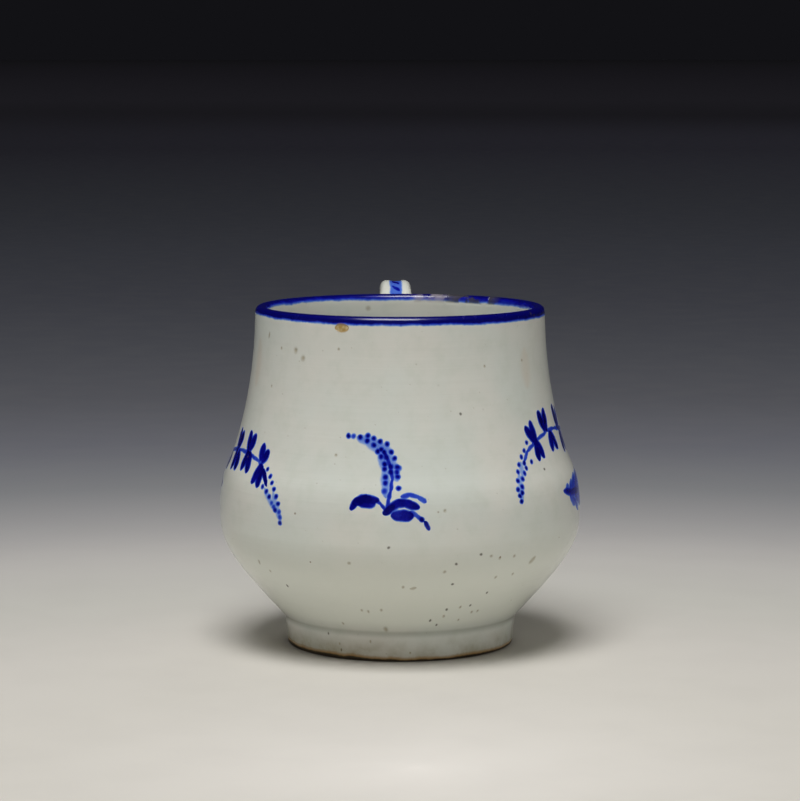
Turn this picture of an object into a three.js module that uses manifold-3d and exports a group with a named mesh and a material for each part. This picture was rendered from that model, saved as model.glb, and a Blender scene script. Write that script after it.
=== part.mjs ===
// A small footed custard cup with a pear-shaped body and a strap handle.
// The body is thrown and turned in one piece of clay, from the foot ring to the lip.
// The handle is a separate grooved strap, luted to the neck and the belly with slip.
// Millimetres, +Z up, with the handle along +Y.
// The origin is on the table, below the middle of the cup and handle taken together.

import * as THREE from "three";
import { mergeVertices } from "three/addons/utils/BufferGeometryUtils.js";
import Module from "manifold-3d";

const wasm = await Module();
wasm.setup();

// Outside of the body
const rimHeight = 68; // table to the crest of the lip
const rimRadius = 28.9; // outside of the lip
const neckDrop = 15.2; // length of nearly straight neck below the lip
const bellyHeight = 28; // widest part
const bellyRadius = 36.15;
const shoulderRise = 8.4; // from the widest part up to where the round belly turns into the hollow neck
const shoulderInset = 1.65; // how much narrower the cup is there
const shoulderSpread = 0.55; // millimetres out for each millimetre down, at the shoulder
const shoulderTurn = 2.5; // height over which the wall keeps about that slope
const bellyRise = 1.5; // how far the upright stretch of the belly reaches up
const bellyFall = 6.2; // and down
const lowerSpread = 0.94; // millimetres out for each millimetre up, above the foot
const lowerTurn = 13.5; // height over which the wall keeps about that slope

// Foot ring and base
const footHeight = 5.2;
const footRadius = 23; // at the top of the foot
const footDraft = 0.4; // how much narrower the foot is at the table
const footFillet = 0.8; // glaze-filled corner between foot and wall
const footRingWidth = 3; // flat face that stands on the table
const footWear = 0.5; // rounding of the ring's two lower edges
const recessDepth = 2.4; // hollow turned under the base
const recessDraft = 0.8; // slope of the ring's inside

// Walls
const rimWall = 2.4; // the lip is a half round of this thickness
const bellyWall = 2.9;
const floorThickness = 4;
const floorRadius = 12; // flat middle of the inside
const floorSweep = 10; // how far the flat runs out towards the wall
const wallFall = 9.7; // upright stretch of the inside wall below the belly

// Handle: centre line in the upright plane through +Y
const neckJointDrop = 7.6; // from the lip down to the middle of the upper joint, on the wall
const handleRise = 52; // degrees above level at which the strap leaves the neck
const handleLift = 14.6; // how strongly the strap springs up from the neck
const handleStandOff = 13.45; // middle of the strap at its furthest, out from the belly
const handleBendDrop = 15; // from the lip down to that furthest point
const handleCrown = 20.4; // how high the curve is pulled above it
const handleDrop = 11; // how far it runs down before it turns in
const bellyJointDrop = 0.4; // from the widest part down to the middle of the lower joint
const handleReturn = 17; // degrees above level at which the strap meets the belly
const handleSweep = 13; // how far out the turn begins
const rootDepth = 1.4; // how far the centre line runs into the wall before it is trimmed

// Handle: the strap itself, as width and thickness from neck to belly
const neckRootWidth = 8.8;
const neckRootThickness = 4.4;
const crownWidth = 6.9;
const crownThickness = 3.8;
const bendWidth = 6.3;
const bendThickness = 3.5;
const bellyRootWidth = 8.2;
const bellyRootThickness = 3.9;
const crownShare = 0.27; // shares of the strap's length at which it has these sizes
const bendShare = 0.55;
const returnShare = 0.86; // where it starts to spread again towards the belly
const grooveDepth = 0.3; // shallow channel along the strap's back

// Slip that luted the handle on, wiped to a fillet round each root
const slipThickness = 1.3;
const slipSpread = 1.1; // how far the fillet reaches past the strap on the wall
const fitClearance = 0.3; // between curved faces that seat on each other

// Facets
const roundSteps = 72;
const strapSteps = 44;

const glaze = new THREE.MeshStandardMaterial({ color: 0xc9cac1, roughness: 0.18, metalness: 0 });
const slipGlaze = new THREE.MeshStandardMaterial({ color: 0xbfc1b8, roughness: 0.2, metalness: 0 });

// A cubic curve through the given [radius, height] points.
function bend(...points) {
  return new THREE.CubicBezierCurve(...points.map(([radius, height]) => new THREE.Vector2(radius, height)));
}

// The wall seen from the side, from the lip down to the belly, moved in by the wall's thickness.
function wallCurves(rimInset, bellyInset) {
  const lipHeight = rimHeight - rimWall / 2;
  const rim = rimRadius - rimInset;
  const middleInset = (rimInset + bellyInset) / 2;
  const shoulderHeight = bellyHeight + shoulderRise;
  const shoulder = bellyRadius - shoulderInset - middleInset;
  const belly = bellyRadius - bellyInset;
  return {
    neck: bend(
      [rim, lipHeight],
      [rim, lipHeight - neckDrop],
      [shoulder - shoulderSpread * shoulderTurn, shoulderHeight + shoulderTurn],
      [shoulder, shoulderHeight],
    ),
    shoulder: bend(
      [shoulder, shoulderHeight],
      [shoulder + shoulderSpread * shoulderTurn, shoulderHeight - shoulderTurn],
      [belly, bellyHeight + bellyRise],
      [belly, bellyHeight],
    ),
  };
}

// The curve without its first point, so that curves can be chained.
function chain(curve, steps) {
  return curve.getPoints(steps).slice(1);
}

const outside = wallCurves(0, 0);
const inside = wallCurves(rimWall, bellyWall);

// Outer wall from the lip down to the foot, for the body and for what seats on it.
function outerWall() {
  const footTop = [footRadius + footFillet / 2, footHeight + footFillet];
  const lowerWall = bend(
    [bellyRadius, bellyHeight],
    [bellyRadius, bellyHeight - bellyFall],
    [footTop[0] + lowerSpread * lowerTurn, footTop[1] + lowerTurn],
    footTop,
  );
  const corner = bend(
    footTop,
    [footTop[0] - (lowerSpread * footFillet) / 3, footTop[1] - footFillet / 3],
    [footRadius, footHeight + footFillet / 4],
    [footRadius, footHeight - footFillet / 2],
  );
  return [
    ...outside.neck.getPoints(9),
    ...chain(outside.shoulder, 6),
    ...chain(lowerWall, 10),
    ...chain(corner, 4),
  ];
}

// Points of an arc about a centre, between two directions in degrees.
function rounded(centreRadius, centreHeight, radius, fromDegrees, toDegrees, steps) {
  const [from, to] = [fromDegrees, toDegrees].map(THREE.MathUtils.degToRad);
  const arc = new THREE.EllipseCurve(centreRadius, centreHeight, radius, radius, from, to, to < from);
  return arc.getPoints(steps);
}

// The whole section of the body, from the middle of the floor round the lip and the foot
// to the middle of the base.
function bodyProfile() {
  const floorHeight = recessDepth + floorThickness;
  const lip = rounded(rimRadius - rimWall / 2, rimHeight - rimWall / 2, rimWall / 2, 180, 0, 6);
  const innerBowl = bend(
    [bellyRadius - bellyWall, bellyHeight],
    [bellyRadius - bellyWall, bellyHeight - wallFall],
    [floorRadius + floorSweep, floorHeight],
    [floorRadius, floorHeight],
  );
  const footBottom = footRadius - footDraft;
  const ringInside = footBottom - footRingWidth;
  return [
    new THREE.Vector2(0, floorHeight),
    ...innerBowl.getPoints(9).reverse(),
    ...inside.shoulder.getPoints(5).reverse().slice(1),
    ...inside.neck.getPoints(7).reverse().slice(1),
    ...lip.slice(1),
    ...outerWall().slice(1),
    ...rounded(footBottom - footWear, footWear, footWear, 0, -90, 3),
    ...rounded(ringInside + footWear, footWear, footWear, -90, -180, 3),
    new THREE.Vector2(ringInside - recessDraft, recessDepth),
    new THREE.Vector2(0, recessDepth),
  ];
}

// Turns a section, given down its outside, about the cup's axis. The section's y is the height.
function turned(profile) {
  return new THREE.LatheGeometry(profile.toReversed(), roundSteps).rotateX(Math.PI / 2);
}

// Radius of the outer wall at a height between the foot and the lip.
function wallRadiusAt(height) {
  const wall = outerWall();
  const below = wall.findIndex((point) => point.y <= height);
  const [high, low] = [wall[below - 1], wall[below]];
  return THREE.MathUtils.mapLinear(height, low.y, high.y, low.x, high.x);
}

// A closed skin over rings that all have the same number of points.
function loft(rings) {
  const around = rings[0].length;
  const middle = (ring) => {
    const sum = new THREE.Vector3();
    ring.forEach((point) => sum.add(point));
    return sum.divideScalar(around);
  };
  const points = [...rings.flat(), middle(rings[0]), middle(rings.at(-1))];
  const [startCap, endCap] = [points.length - 2, points.length - 1];
  const faces = [];
  for (let i = 0; i < around; i++) {
    const next = (i + 1) % around;
    const last = (rings.length - 1) * around;
    faces.push(startCap, next, i, endCap, last + i, last + next);
    for (let ring = 0; ring < rings.length - 1; ring++) {
      const [a, b] = [ring * around, (ring + 1) * around];
      faces.push(a + i, a + next, b + next, a + i, b + next, b + i);
    }
  }
  return new THREE.BufferGeometry().setFromPoints(points).setIndex(faces);
}

function toSolid(geometry) {
  const bare = new THREE.BufferGeometry().setAttribute("position", geometry.getAttribute("position"));
  bare.setIndex(geometry.getIndex());
  const merged = mergeVertices(bare, 1e-4);
  const mesh = new wasm.Mesh({
    numProp: 3,
    vertProperties: merged.attributes.position.array,
    triVerts: new Uint32Array(merged.index.array),
  });
  return new wasm.Manifold(mesh);
}

function toGeometry(solid) {
  const mesh = solid.getMesh();
  const geometry = new THREE.BufferGeometry();
  geometry.setAttribute("position", new THREE.BufferAttribute(mesh.vertProperties, 3));
  geometry.setIndex(new THREE.BufferAttribute(mesh.triVerts, 1));
  geometry.computeVertexNormals();
  return geometry;
}

// Where the handle meets the wall: the wall itself, and the upright face between slip and strap.
// The strap's grooved back faces up at the neck and down at the belly.
function jointAt(height, degrees, width, thickness, backFaces) {
  const wall = wallRadiusAt(height);
  const angle = THREE.MathUtils.degToRad(degrees);
  return { height, wall, angle, face: wall + fitClearance + slipThickness, width, thickness, backFaces };
}

const neckJoint = jointAt(rimHeight - neckJointDrop, handleRise, neckRootWidth, neckRootThickness, 1);
const bellyJoint = jointAt(
  bellyHeight - bellyJointDrop,
  handleReturn,
  bellyRootWidth,
  bellyRootThickness,
  -1,
);
const bendPoint = new THREE.Vector3(0, bellyRadius + handleStandOff, rimHeight - handleBendDrop);

// A point on the line along which the strap meets the wall, some way out from the wall.
function onApproach(joint, out) {
  const radius = joint.wall + out * Math.cos(joint.angle);
  const height = joint.height + out * Math.sin(joint.angle);
  return new THREE.Vector3(0, radius, height);
}

// The strap's centre line: up from the neck, over the crown, out to the bend, and back in to the belly.
function handleLine() {
  const line = new THREE.CurvePath();
  line.add(
    new THREE.CubicBezierCurve3(
      onApproach(neckJoint, -rootDepth),
      onApproach(neckJoint, handleLift - rootDepth),
      bendPoint.clone().add(new THREE.Vector3(0, 0, handleCrown)),
      bendPoint,
    ),
  );
  line.add(
    new THREE.CubicBezierCurve3(
      bendPoint,
      bendPoint.clone().sub(new THREE.Vector3(0, 0, handleDrop)),
      onApproach(bellyJoint, handleSweep),
      onApproach(bellyJoint, -rootDepth),
    ),
  );
  return line;
}

// Half of the strap's section, from the middle of the finger side to the bottom of the groove,
// for a strap 2 wide and 2 thick.
function strapHalfSection(groove) {
  const half = new THREE.Path().moveTo(0, -1).lineTo(0.5, -0.96);
  half.bezierCurveTo(0.86, -0.9, 1, -0.5, 1, -0.06);
  half.bezierCurveTo(1, 0.6, 0.84, 1, 0.56, 1);
  half.bezierCurveTo(0.36, 1, 0.28, 1 - groove, 0, 1 - groove);
  return half.getPoints(4);
}

// The strap's outline, counter-clockwise as seen along its run.
function strapSection(thickness) {
  const half = strapHalfSection(grooveDepth / (thickness / 2));
  const mirrored = half.slice(1, -1).reverse().map((point) => new THREE.Vector2(-point.x, point.y));
  return [...half, ...mirrored];
}

// Width and thickness along the strap, eased between the places where they are known.
const strapSizes = [
  { share: 0, width: neckRootWidth, thickness: neckRootThickness },
  { share: crownShare, width: crownWidth, thickness: crownThickness },
  { share: bendShare, width: bendWidth, thickness: bendThickness },
  { share: returnShare, width: bendWidth, thickness: bendThickness },
  { share: 1, width: bellyRootWidth, thickness: bellyRootThickness },
];

function strapSizeAt(share) {
  const after = Math.max(1, strapSizes.findIndex((size) => size.share >= share));
  const [from, to] = [strapSizes[after - 1], strapSizes[after]];
  const blend = THREE.MathUtils.smoothstep(share, from.share, to.share);
  return {
    width: THREE.MathUtils.lerp(from.width, to.width, blend),
    thickness: THREE.MathUtils.lerp(from.thickness, to.thickness, blend),
  };
}

function strapRing(line, share) {
  const centre = line.getPointAt(share);
  const left = new THREE.Vector3(-1, 0, 0);
  const outward = line.getTangentAt(share).cross(left);
  const { width, thickness } = strapSizeAt(share);
  return strapSection(thickness).map((point) =>
    centre
      .clone()
      .addScaledVector(left, (point.x * width) / 2)
      .addScaledVector(outward, (point.y * thickness) / 2),
  );
}

// Everything on the cup's side of the upright face of a joint.
function wallSideOf(joint) {
  const reach = 2 * rootDepth + slipThickness + neckRootThickness;
  const span = 4 * (neckRootWidth + bellyRootWidth);
  const box = new THREE.BoxGeometry(span, reach, span / 2);
  return toSolid(box.translate(0, joint.face - reach / 2, joint.height));
}

function makeHandle() {
  const line = handleLine();
  const rings = Array.from({ length: strapSteps + 1 }, (_, i) => strapRing(line, i / strapSteps));
  return toSolid(loft(rings)).subtract(wallSideOf(neckJoint)).subtract(wallSideOf(bellyJoint));
}

// The body's outside filled solid and grown by the clearance, to cut what seats on the wall.
function seatCutter() {
  const grown = outerWall().map((point) => new THREE.Vector2(point.x + fitClearance, point.y));
  const top = new THREE.Vector2(0, grown[0].y);
  const bottom = new THREE.Vector2(0, grown.at(-1).y);
  return toSolid(turned([top, ...grown, bottom]));
}

// A fillet of slip: the strap's root carried on to the wall, spreading as it gets there.
function makeSlipJoint(joint) {
  const steps = 6;
  const spreadOver = fitClearance + slipThickness;
  const deepest = spreadOver + rootDepth; // inside the wall, where the seat cutter trims it away
  const rings = Array.from({ length: steps + 1 }, (_, i) => {
    const depth = (deepest * (steps - i)) / steps;
    const spread = slipSpread * Math.min(1, (depth / spreadOver) ** 2);
    const halfWidth = joint.width / 2 + spread;
    const halfHeight = joint.thickness / 2 / Math.cos(joint.angle) + spread;
    const out = joint.face - depth;
    const centre = joint.height + (out - joint.wall) * Math.tan(joint.angle);
    return strapSection(joint.thickness).map(({ x, y }) => {
      const up = y * halfHeight * joint.backFaces;
      return new THREE.Vector3(-x * halfWidth * joint.backFaces, out, centre + up);
    });
  });
  return toSolid(loft(rings)).subtract(seatCutter());
}

function piece(name, geometry, material) {
  const mesh = new THREE.Mesh(geometry, material);
  mesh.name = name;
  return mesh;
}

const cup = new THREE.Group();
cup.add(
  piece("cup_body", turned(bodyProfile()), glaze),
  piece("handle", toGeometry(makeHandle()), glaze),
  piece("upper_slip_joint", toGeometry(makeSlipJoint(neckJoint)), slipGlaze),
  piece("lower_slip_joint", toGeometry(makeSlipJoint(bellyJoint)), slipGlaze),
);

cup.position.y = -(handleStandOff + bendThickness / 2) / 2;

export default cup;
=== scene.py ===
from math import atan2, cos, hypot, pi, radians, sin, sqrt, tan

import bpy
import numpy as np
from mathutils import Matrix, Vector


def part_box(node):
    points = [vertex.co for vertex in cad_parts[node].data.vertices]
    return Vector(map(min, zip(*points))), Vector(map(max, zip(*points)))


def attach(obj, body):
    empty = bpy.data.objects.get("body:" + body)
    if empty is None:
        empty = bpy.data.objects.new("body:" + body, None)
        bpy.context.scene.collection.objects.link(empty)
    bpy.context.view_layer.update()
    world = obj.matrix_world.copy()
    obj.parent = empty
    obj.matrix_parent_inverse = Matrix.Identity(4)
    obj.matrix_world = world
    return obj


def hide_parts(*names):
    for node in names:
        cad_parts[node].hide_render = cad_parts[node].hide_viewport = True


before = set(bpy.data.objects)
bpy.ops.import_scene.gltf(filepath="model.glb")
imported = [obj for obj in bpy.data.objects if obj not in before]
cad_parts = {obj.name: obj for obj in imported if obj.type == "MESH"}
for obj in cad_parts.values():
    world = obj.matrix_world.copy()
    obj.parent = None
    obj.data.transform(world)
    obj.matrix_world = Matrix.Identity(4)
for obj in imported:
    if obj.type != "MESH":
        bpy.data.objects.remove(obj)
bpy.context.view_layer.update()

# The custard cup: turned body, pulled strap handle and the slip that lutes it on.
# Lengths are in millimetres, and radii and distances are taken from the cup's axis.
mm = 0.001
bodyLow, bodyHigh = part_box("cup_body")
axisY = (bodyLow.y + bodyHigh.y) / 2


def say(stage):
    print("custard cup:", stage)


cameraView = {
    "lens": 136.4,
    "sensor": 36,
    "distance": 604,  # from the cup's axis
    "height": 118.3,
    "pitch": 6.57,  # degrees down
    "turn": -1.4,  # degrees round the cup
}

studio = {
    "worldLight": 0.1,
    "worldColor": (1.0, 0.97, 0.91),
    "farColor": (18, 18, 21),  # past the floor's edge
    "lamps": {
        "overhead": {"place": (-0.08, -0.34, 1.0), "size": 0.52, "power": 10.0, "shine": True},
        "left_fill": {"place": (-1.7, -0.7, 0.3), "size": 1.0, "power": 3.8, "shine": False},
        "right_fill": {"place": (1.7, -0.7, 0.3), "size": 1.0, "power": 5.2, "shine": False},
        "front_fill": {"place": (-0.1, -1.8, 0.12), "size": 0.8, "power": 3.7, "shine": False},
        "back_fill": {"place": (0.9, 3.2, 2.4), "size": 2.0, "power": 12.0, "shine": False},
    },
    "brightest": -0.11,  # metres from the cup's axis to the floor's palest place, in front of it, the middle of a painted pool of light
    "floorSize": 80,
    "floorFinish": {"roughness": 0.8, "shine": 0.2},
    "grain": {"scale": 60, "share": 0.05, "color": (150, 146, 140)},
    # distance in metres from that place, and the floor's colour there: painted light, falling off from
    # pale to dark
    "floor": [
        (0.0, (231, 226, 219)),
        (0.07, (205, 201, 193)),
        (0.12, (201, 197, 190)),
        (0.17, (194, 192, 185)),
        (0.22, (188, 185, 181)),
        (0.265, (164, 162, 162)),
        (0.334, (134, 135, 138)),
        (0.416, (114, 115, 123)),
        (0.546, (99, 100, 107)),
        (0.722, (92, 94, 102)),
        (0.967, (88, 90, 100)),
        (1.335, (87, 90, 101)),
        (1.95, (82, 85, 96)),
        (3.2, (70, 70, 84)),
        (6.9, (95, 94, 113)),
        (14.7, (84, 82, 102)),
        (38.0, (68, 69, 81)),
    ],
}


def linear(value):
    share = value / 255
    return share / 12.92 if share <= 0.04045 else ((share + 0.055) / 1.055) ** 2.4


def paint(red, green, blue):
    return (linear(red), linear(green), linear(blue), 1.0)


def makeCamera():
    turn = radians(cameraView["turn"])
    reach = cameraView["distance"] * mm
    place = (reach * sin(turn), axisY - reach * cos(turn), cameraView["height"] * mm)
    bpy.ops.object.camera_add(location=place, rotation=(pi / 2 - radians(cameraView["pitch"]), 0, turn))
    camera = bpy.context.object
    camera.name = "front_camera"
    camera.data.lens = cameraView["lens"]
    camera.data.sensor_fit = "VERTICAL"
    camera.data.sensor_height = cameraView["sensor"]
    camera.data.sensor_width = cameraView["sensor"]
    camera.data.clip_end = 100
    bpy.context.scene.camera = camera


class Wire:
    # an output socket; Python's operators on it add Math nodes
    def __init__(self, sheet, node, output=0):
        self.sheet = sheet
        self.node = node
        self.socket = node.outputs[output]

    def out(self, output):
        return Wire(self.sheet, self.node, output)

    def maths(self, operation, *others):
        return self.sheet.add("ShaderNodeMath", {"operation": operation}, [self, *others])

    def __add__(self, other):
        return self.maths("ADD", other)

    def __radd__(self, other):
        return self.maths("ADD", other)

    def __sub__(self, other):
        return self.maths("SUBTRACT", other)

    def __rsub__(self, other):
        return self.sheet.add("ShaderNodeMath", {"operation": "SUBTRACT"}, [other, self])

    def __mul__(self, other):
        return self.maths("MULTIPLY", other)

    def __rmul__(self, other):
        return self.maths("MULTIPLY", other)

    def __truediv__(self, other):
        return self.maths("DIVIDE", other)

    def __abs__(self):
        return self.maths("ABSOLUTE")

    def least(self, other):
        return self.maths("MINIMUM", other)

    def most(self, other):
        return self.maths("MAXIMUM", other)

    def rises(self, start, end):
        # 0 up to start and 1 from end on, or the other way round where end is below start
        settings = {"interpolation_type": "SMOOTHSTEP"}
        low, high = min(start, end), max(start, end)
        ends = {"To Min": 0.0, "To Max": 1.0} if end > start else {"To Min": 1.0, "To Max": 0.0}
        inputs = {"Value": self, "From Min": low, "From Max": high, **ends}
        return self.sheet.add("ShaderNodeMapRange", settings, inputs)


class Sheet:
    # the node sheet of one material or of the world
    def __init__(self, owner):
        owner.use_nodes = True
        self.tree = owner.node_tree
        self.tree.nodes.clear()

    def add(self, kind, settings=None, inputs=()):
        node = self.tree.nodes.new(kind)
        for key, value in (settings or {}).items():
            if key == "stops":
                self.setStops(node.color_ramp, value)
            else:
                setattr(node, key, value)
        pairs = inputs.items() if isinstance(inputs, dict) else enumerate(inputs)
        for socket, value in pairs:
            if isinstance(value, Wire):
                self.tree.links.new(value.socket, node.inputs[socket])
            else:
                node.inputs[socket].default_value = value
        return Wire(self, node) if node.outputs else node

    def setStops(self, ramp, stops):
        while len(ramp.elements) < len(stops):
            ramp.elements.new(0.5)
        for element, (position, color) in zip(ramp.elements, stops):
            element.position = position
            element.color = color

    def vectorMaths(self, operation, *inputs):
        return self.add("ShaderNodeVectorMath", {"operation": operation}, inputs)

    def mixColor(self, share, first, second):
        return self.add("ShaderNodeMix", {"data_type": "RGBA"}, {0: share, 6: first, 7: second}).out(2)

    def noise(self, place, scale, detail=2.0, roughness=0.5):
        inputs = {"Vector": place, "Scale": scale, "Detail": detail, "Roughness": roughness}
        return self.add("ShaderNodeTexNoise", {"noise_dimensions": "3D"}, inputs)


def makeWorld():
    world = bpy.data.worlds.new("studio_world")
    bpy.context.scene.world = world
    sheet = Sheet(world)
    path = sheet.add("ShaderNodeLightPath")
    seen = path.out("Is Camera Ray").most(path.out("Is Glossy Ray")).most(path.out("Is Transmission Ray"))
    light = sheet.add("ShaderNodeBackground", {}, [(*studio["worldColor"], 1), studio["worldLight"]])
    far = sheet.add("ShaderNodeBackground", {}, [paint(*studio["farColor"]), 1.0])
    both = sheet.add("ShaderNodeMixShader", {}, [seen, light, far])
    sheet.add("ShaderNodeOutputWorld", {}, [both])


def makeLamp(name, values):
    bpy.ops.object.light_add(type="AREA", location=values["place"])
    lamp = bpy.context.object
    lamp.name = name
    lamp.data.shape = "SQUARE"
    lamp.data.size = values["size"]
    lamp.data.energy = values["power"]
    lamp.visible_camera = False
    lamp.visible_glossy = values["shine"]
    aim = bodyHigh.lerp(bodyLow, 0.5) - lamp.location
    lamp.rotation_euler = aim.to_track_quat("-Z", "Y").to_euler()


def makeFloor():
    bpy.ops.mesh.primitive_plane_add(size=studio["floorSize"], location=(0, 0, 0))
    floor = bpy.context.object
    floor.name = "studio_floor"
    material = bpy.data.materials.new("pale_board")
    sheet = Sheet(material)
    place = sheet.add("ShaderNodeTexCoord").out("Object")
    away = sheet.vectorMaths("DISTANCE", place, (0, axisY + studio["brightest"], 0)).out("Value")
    reach = studio["floor"][-1][0]
    # painted light: the floor's colour darkens with distance from the pool of light in front of the cup
    stops = [((distance / reach) ** 0.5, paint(*color)) for distance, color in studio["floor"]]
    share = (away / reach).maths("SQRT")
    color = sheet.add("ShaderNodeValToRGB", {"stops": stops}, [share])
    grain, finish = studio["grain"], studio["floorFinish"]
    cloudy = sheet.noise(place, grain["scale"], 4).out("Fac").rises(0.35, 0.75)
    color = sheet.mixColor(cloudy * grain["share"], color, paint(*grain["color"]))
    inputs = {"Base Color": color, "Roughness": finish["roughness"], "Specular IOR Level": finish["shine"]}
    shader = sheet.add("ShaderNodeBsdfPrincipled", {}, inputs)
    sheet.add("ShaderNodeOutputMaterial", {}, [shader])
    floor.data.materials.append(material)


def deselect():
    if bpy.context.object and bpy.context.object.mode != "OBJECT":
        bpy.ops.object.mode_set(mode="OBJECT")
    bpy.ops.object.select_all(action="DESELECT")


def startAt(name, place):
    # a plane merged to one point, ready to be extruded
    deselect()
    bpy.ops.mesh.primitive_plane_add(size=mm)
    piece = bpy.context.object
    piece.name = name
    piece.data.name = name
    bpy.ops.object.mode_set(mode="EDIT")
    bpy.ops.mesh.select_all(action="SELECT")
    bpy.ops.mesh.merge(type="CENTER")
    bpy.ops.transform.translate(value=place)
    return piece


def extrudeBy(step):
    bpy.ops.mesh.extrude_region_move(TRANSFORM_OT_translate={"value": step})


def drawLine(name, points):
    # extrudes a line through the points, given in millimetres from the cup's axis
    places = [(x * mm, axisY + y * mm, z * mm) for x, y, z in points]
    piece = startAt(name, places[0])
    for here, there in zip(places, places[1:]):
        extrudeBy([b - a for a, b in zip(here, there)])
    return piece


def closeSkin():
    bpy.ops.mesh.select_all(action="SELECT")
    bpy.ops.mesh.remove_doubles(threshold=0.002 * mm)
    bpy.ops.mesh.normals_make_consistent(inside=False)
    bpy.ops.object.mode_set(mode="OBJECT")


def smoothSkin(piece, levels):
    modifier = piece.modifiers.new("smooth", "SUBSURF")
    modifier.levels = levels
    modifier.render_levels = levels
    bpy.ops.object.modifier_apply(modifier=modifier.name)
    bpy.ops.object.shade_smooth()


def curvePoints(controls, steps):
    # points of a cubic curve, without the first one
    a, b, c, d = [np.array(point, float) for point in controls]
    found = []
    for step in range(1, steps + 1):
        t = step / steps
        point = a * (1 - t) ** 3 + 3 * b * t * (1 - t) ** 2 + 3 * c * t * t * (1 - t) + d * t**3
        found.append(tuple(point))
    return found


def arcPoints(centre, radius, start, end, steps):
    angles = [radians(start + (end - start) * step / steps) for step in range(steps + 1)]
    return [(centre[0] + radius * cos(angle), centre[1] + radius * sin(angle)) for angle in angles]


# The section, as (radius, height), from the middle of the base round the outside to the inside.
cupBody = {
    "recess": [(0, 2.4), (5, 2.4), (11, 2.4), (16.5, 2.4), (18.3, 2.4), (18.8, 2.25), (18.95, 1.9)],
    "foot": {"outside": 22.6, "inside": 19.6, "wear": 0.5},
    "footSide": [(22.66, 1.3), (22.76, 2.4), (22.9, 3.8)],
    "footCorner": [(23.4, 6.0), (23.15, 5.73), (23.0, 5.4), (23.0, 4.8)],
    "lowerWall": [(36.15, 28.0), (36.15, 21.8), (36.1, 19.5), (23.4, 6.0)],
    "shoulder": [(34.5, 36.4), (35.88, 33.9), (36.15, 29.5), (36.15, 28.0)],
    "neck": [(28.9, 66.8), (28.9, 51.6), (33.13, 38.9), (34.5, 36.4)],
    "lip": {"centre": (27.7, 66.8), "radius": 1.2},
    "insideNeck": [(26.5, 66.8), (26.5, 51.6), (30.48, 38.9), (31.85, 36.4)],
    "insideShoulder": [(31.85, 36.4), (33.2, 33.9), (33.25, 29.5), (33.25, 28.0)],
    "bowl": [(33.25, 28.0), (33.25, 18.3), (22.0, 6.4), (12.0, 6.4)],
    "bowlFloor": [(8, 6.4), (4, 6.4), (0, 6.4)],
    "turns": 144,  # steps of the spin
}


def upwards(name, steps):
    # a curve of the outside wall from its lower end, without its upper end
    return curvePoints(cupBody[name], steps)[::-1]


def bodySection():
    foot, lip = cupBody["foot"], cupBody["lip"]
    wear = foot["wear"]
    ring = arcPoints((foot["inside"] + wear, wear), wear, 180, 270, 3)
    ring += arcPoints((foot["outside"] - wear, wear), wear, 270, 360, 3)
    outside = cupBody["footSide"] + upwards("footCorner", 4) + [cupBody["footCorner"][0]]
    outside += upwards("lowerWall", 14)[1:] + upwards("shoulder", 6)[1:] + upwards("neck", 13)
    lipArc = arcPoints(lip["centre"], lip["radius"], 0, 180, 8)
    inside = curvePoints(cupBody["insideNeck"], 10) + curvePoints(cupBody["insideShoulder"], 5)
    inside += curvePoints(cupBody["bowl"], 12) + cupBody["bowlFloor"]
    return cupBody["recess"] + ring + outside + lipArc + inside


def makeBody():
    points = [(radius, 0, height) for radius, height in bodySection()]
    body = drawLine("cup_body_glazed", points)
    bpy.ops.mesh.select_all(action="SELECT")
    bpy.ops.mesh.spin(steps=cupBody["turns"], angle=2 * pi, center=(0, axisY, 0), axis=(0, 0, 1))
    closeSkin()
    smoothSkin(body, 1)
    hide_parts("cup_body")
    say("body spun")
    return body


strap = {
    "neckRoot": {"wall": 29.13, "height": 60.4, "rise": 52, "out": 13.2},
    "bend": (49.6, 53.0),
    "crown": (49.6, 72.6),
    "drop": (49.6, 42.0),
    "bellyRoot": {"wall": 36.15, "height": 27.6, "rise": 17, "out": 13.0},
    "intoWall": 0.6,
    # share of the strap's length, width and thickness
    "sizes": [(0, 8.8, 4.4), (0.2, 6.7, 3.8), (0.55, 6.3, 3.5), (0.86, 6.3, 3.5), (1, 8.2, 3.9)],
    "groove": 0.3,  # depth of the channel
    "rings": 46,
    "linePoints": 300,  # along each half of the loop
    "headingReach": 0.2,  # a ring's heading is taken over this length each way
}


def onApproach(root, out):
    angle = radians(root["rise"])
    return (root["wall"] + out * cos(angle), root["height"] + out * sin(angle))


def strapLine():
    # points close together along the middle of the strap, as (radius, height)
    neck, belly = strap["neckRoot"], strap["bellyRoot"]
    start, end = onApproach(neck, -strap["intoWall"]), onApproach(belly, -strap["intoWall"])
    first = [start, onApproach(neck, neck["out"]), strap["crown"], strap["bend"]]
    second = [strap["bend"], strap["drop"], onApproach(belly, belly["out"]), end]
    points = strap["linePoints"]
    return np.array([start, *curvePoints(first, points), *curvePoints(second, points)])


def strapSizeAt(share):
    sizes = strap["sizes"]
    after = max(1, next(i for i, size in enumerate(sizes) if size[0] >= share - 1e-9))
    low, high = sizes[after - 1], sizes[after]
    blend = min(1, max(0, (share - low[0]) / (high[0] - low[0])))
    blend = blend * blend * (3 - 2 * blend)
    return tuple(a + (b - a) * blend for a, b in zip(low[1:], high[1:]))


def strapSection(groove):
    # the strap's outline, two wide and two thick, with the channel at the top
    half = [(0, -1), (0.5, -0.96)]
    half += curvePoints([(0.5, -0.96), (0.86, -0.9), (1, -0.5), (1, -0.06)], 4)
    half += curvePoints([(1, -0.06), (1, 0.6), (0.84, 1), (0.56, 1)], 4)
    half += curvePoints([(0.56, 1), (0.36, 1), (0.28, 1 - groove), (0, 1 - groove)], 4)
    return half + [(-x, y) for x, y in reversed(half[1:-1])]


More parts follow.
